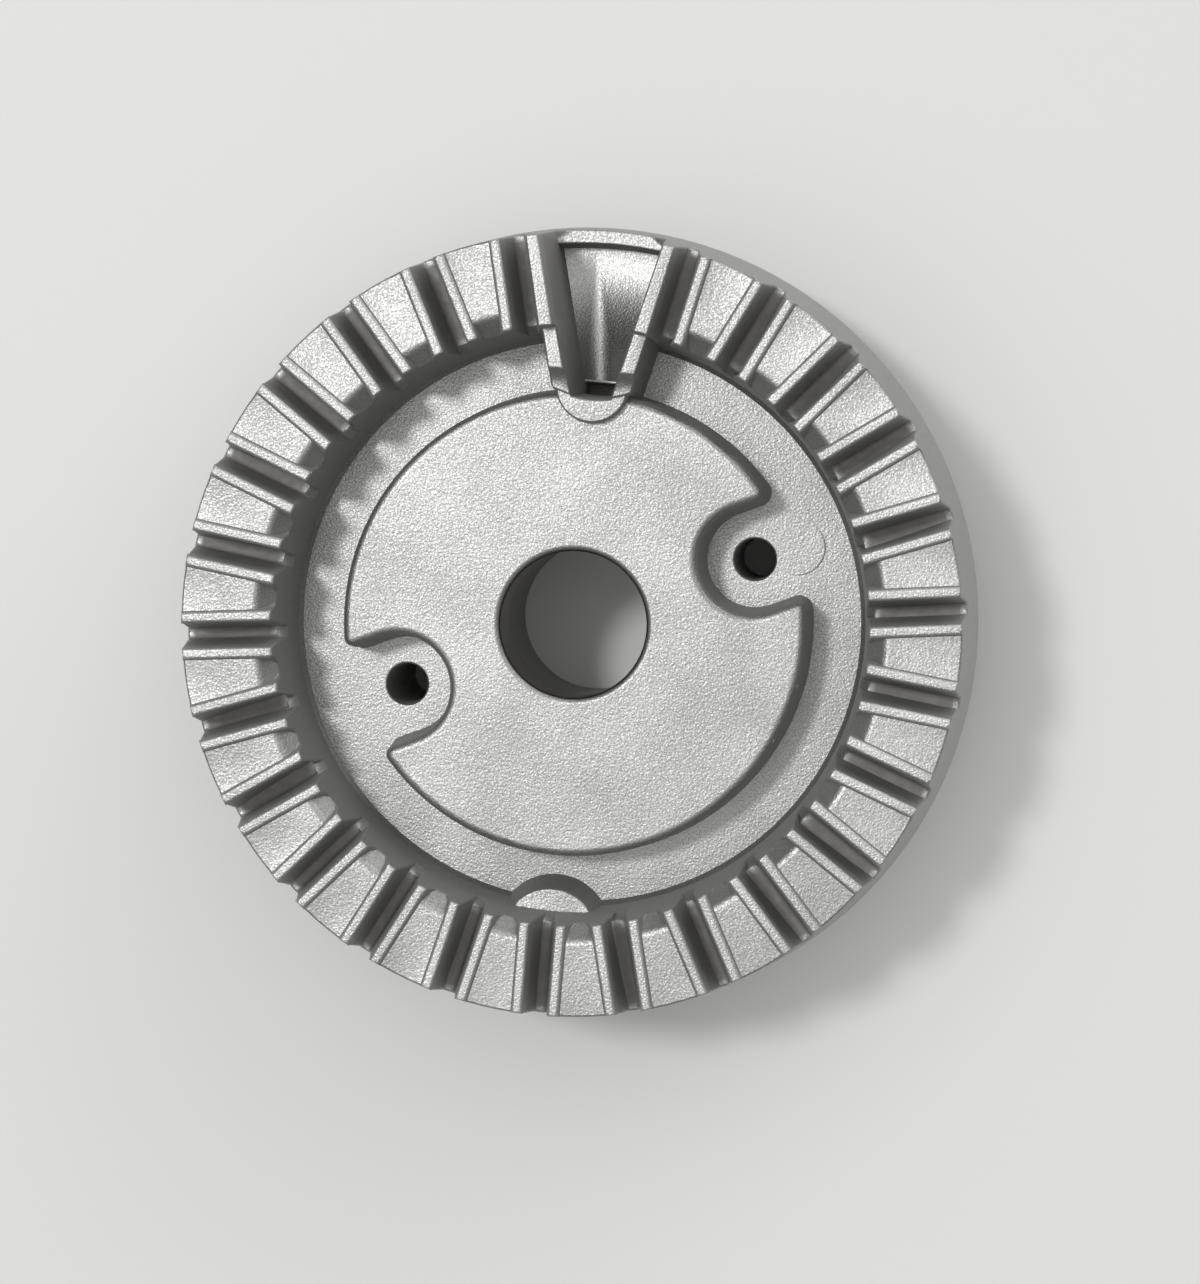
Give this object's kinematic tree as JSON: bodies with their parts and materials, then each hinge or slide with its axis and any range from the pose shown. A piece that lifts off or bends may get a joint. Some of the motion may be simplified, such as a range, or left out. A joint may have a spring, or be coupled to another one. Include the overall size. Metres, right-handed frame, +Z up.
{
  "type": "gas burner base",
  "caption": "Round die-cast gas burner base with a slotted port ring, gas channel, raised disc with a central bore, two screw recesses and an igniter pocket",
  "frame": {"origin": "on the axis of the mixing tube at its open lower mouth, the lowest plane of the casting", "axes": "+Z up along the mixing tube, +Y towards the igniter pocket, +X to the right of the pocket seen from above"},
  "size_m": [0.0736, 0.0734, 0.03],
  "materials": {
    "cast_aluminium": "as-cast aluminium, bead-blasted satin grain on the faces that look up, smoother drafted walls"
  },
  "bodies": {
    "root": {"burner_base": "cast_aluminium"}
  },
  "joints": []
}
